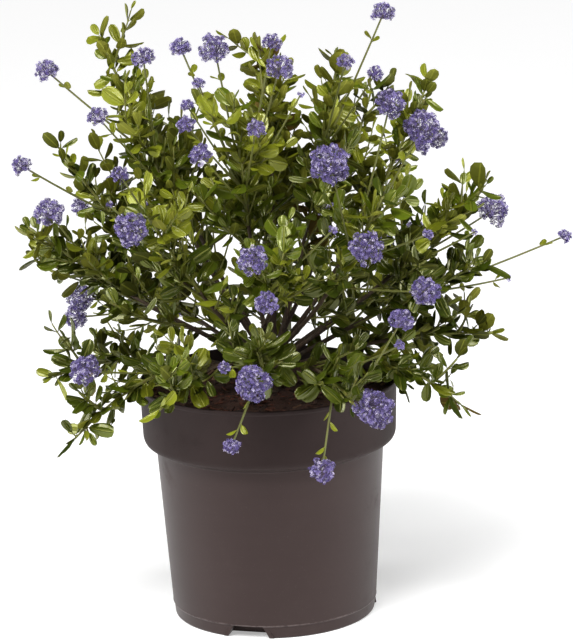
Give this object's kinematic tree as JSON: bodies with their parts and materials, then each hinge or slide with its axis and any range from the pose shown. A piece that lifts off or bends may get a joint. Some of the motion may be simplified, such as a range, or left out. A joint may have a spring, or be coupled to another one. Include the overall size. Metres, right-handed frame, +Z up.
{
  "type": "california lilac shrub in a nursery pot",
  "caption": "Flowering evergreen shrub in a tapered plastic nursery pot, with glossy ribbed leaves on spreading stems and round violet-blue flower heads on long stalks.",
  "frame": {"origin": "centre of the pot's flat underside, at the level it stands on", "axes": "+Z up; +X to the right and +Y away, seen from the front"},
  "size_m": [0.4119, 0.341, 0.4555],
  "materials": {
    "pot_plastic": "matte",
    "compost": "matte",
    "bark": "matte",
    "foliage": "satin"
  },
  "bodies": {
    "root": {"pot": "pot_plastic", "soil": "compost", "trunk": "bark", "bough_top_left": "bark", "bough_top_centre": "bark", "bough_top_right": "bark", "bough_top_back": "bark", "bough_top_front": "bark", "bough_upper_right": "bark", "bough_upper_back_right": "bark", "bough_upper_back": "bark", "bough_upper_back_left": "bark", "bough_upper_left": "bark", "bough_upper_front_left": "bark", "bough_upper_front": "bark", "bough_upper_front_right": "bark", "bough_side_right": "bark", "bough_side_left": "bark", "bough_far_right": "bark", "bough_far_left": "bark", "bough_low_right": "bark", "bough_low_back_right": "bark", "bough_low_back": "bark", "bough_low_back_left": "bark", "bough_low_left": "bark", "bough_low_front_left": "bark", "bough_low_front_right": "bark", "bough_low_front": "bark", "bough_droop_right": "bark", "bough_droop_left": "bark", "foliage_top_left": "foliage", "foliage_top_centre": "foliage", "foliage_top_right": "foliage", "foliage_top_back": "foliage", "foliage_top_front": "foliage", "foliage_upper_right": "foliage", "foliage_upper_back_right": "foliage", "foliage_upper_back": "foliage", "foliage_upper_back_left": "foliage", "foliage_upper_left": "foliage", "foliage_upper_front_left": "foliage", "foliage_upper_front": "foliage", "foliage_upper_front_right": "foliage", "foliage_side_right": "foliage", "foliage_side_left": "foliage", "foliage_far_right": "foliage", "foliage_far_left": "foliage", "foliage_low_right": "foliage", "foliage_low_back_right": "foliage", "foliage_low_back": "foliage", "foliage_low_back_left": "foliage", "foliage_low_left": "foliage", "foliage_low_front_left": "foliage", "foliage_low_front_right": "foliage", "foliage_low_front": "foliage", "foliage_droop_right": "foliage", "foliage_droop_left": "foliage"}
  },
  "joints": []
}
